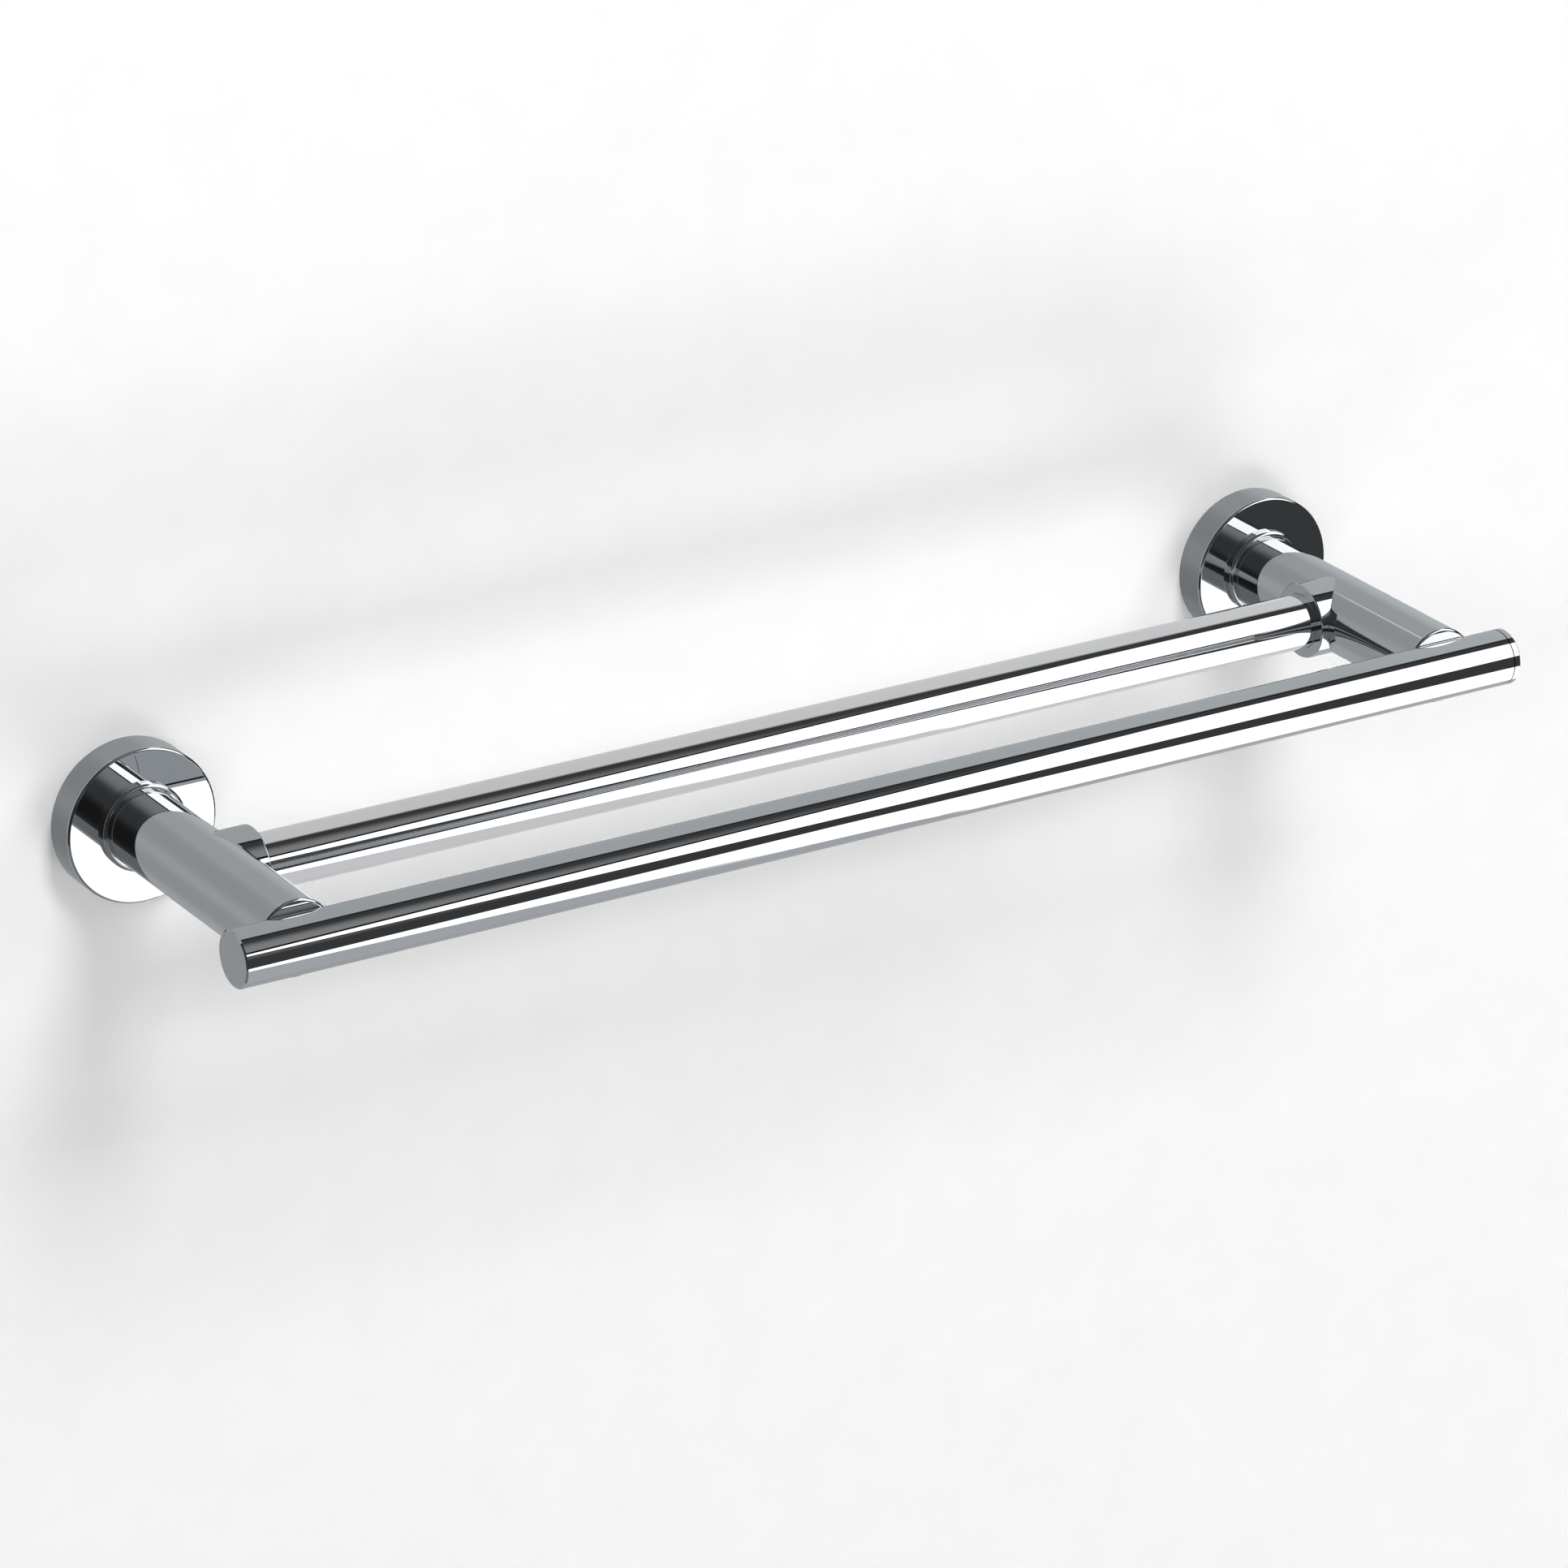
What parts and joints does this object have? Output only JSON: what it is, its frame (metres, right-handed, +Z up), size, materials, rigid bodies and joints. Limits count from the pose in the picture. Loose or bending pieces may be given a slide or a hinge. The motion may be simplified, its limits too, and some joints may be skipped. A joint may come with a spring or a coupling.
{
  "type": "towel rack",
  "caption": "Wall-mounted double towel rail: a front bar capped at both ends and a rear bar, carried by round arms on round wall roses, chrome finish.",
  "frame": {"origin": "centre of the wall-fixing screw pattern, on the wall plane, midway between the two roses and level with the arm axes", "axes": "+X along the bars, +Z up, +Y into the wall, so the rail stands out of the wall along -Y"},
  "size_m": [0.515, 0.167, 0.056],
  "materials": {
    "chrome": "mirror-bright chrome plate",
    "bracket_steel": "zinc-plated, satin",
    "fastener_steel": "plain machined steel",
    "grub_steel": "stainless, satin",
    "screw_zinc": "bright zinc plate",
    "insert_brass": "machined brass"
  },
  "bodies": {
    "root": {"wall_screws_left": "screw_zinc", "wall_screws_right": "screw_zinc", "wall_bracket_left": "bracket_steel", "wall_bracket_right": "bracket_steel", "rose_left": "chrome", "rose_right": "chrome", "rose_grub_left": "grub_steel", "rose_grub_right": "grub_steel", "base_ring_left": "chrome", "base_ring_right": "chrome", "tie_washer_left": "fastener_steel", "tie_washer_right": "fastener_steel", "tie_bolt_left": "fastener_steel", "tie_bolt_right": "fastener_steel", "arm_left": "chrome", "arm_right": "chrome", "rear_socket_left": "chrome", "rear_socket_right": "chrome", "socket_grub_left": "grub_steel", "socket_grub_right": "grub_steel", "saddle_screw_left": "fastener_steel", "saddle_screw_right": "fastener_steel", "bar_insert_left": "insert_brass", "bar_insert_right": "insert_brass", "end_cap_left": "chrome", "end_cap_right": "chrome", "front_bar": "chrome", "rear_bar": "chrome"}
  },
  "joints": []
}
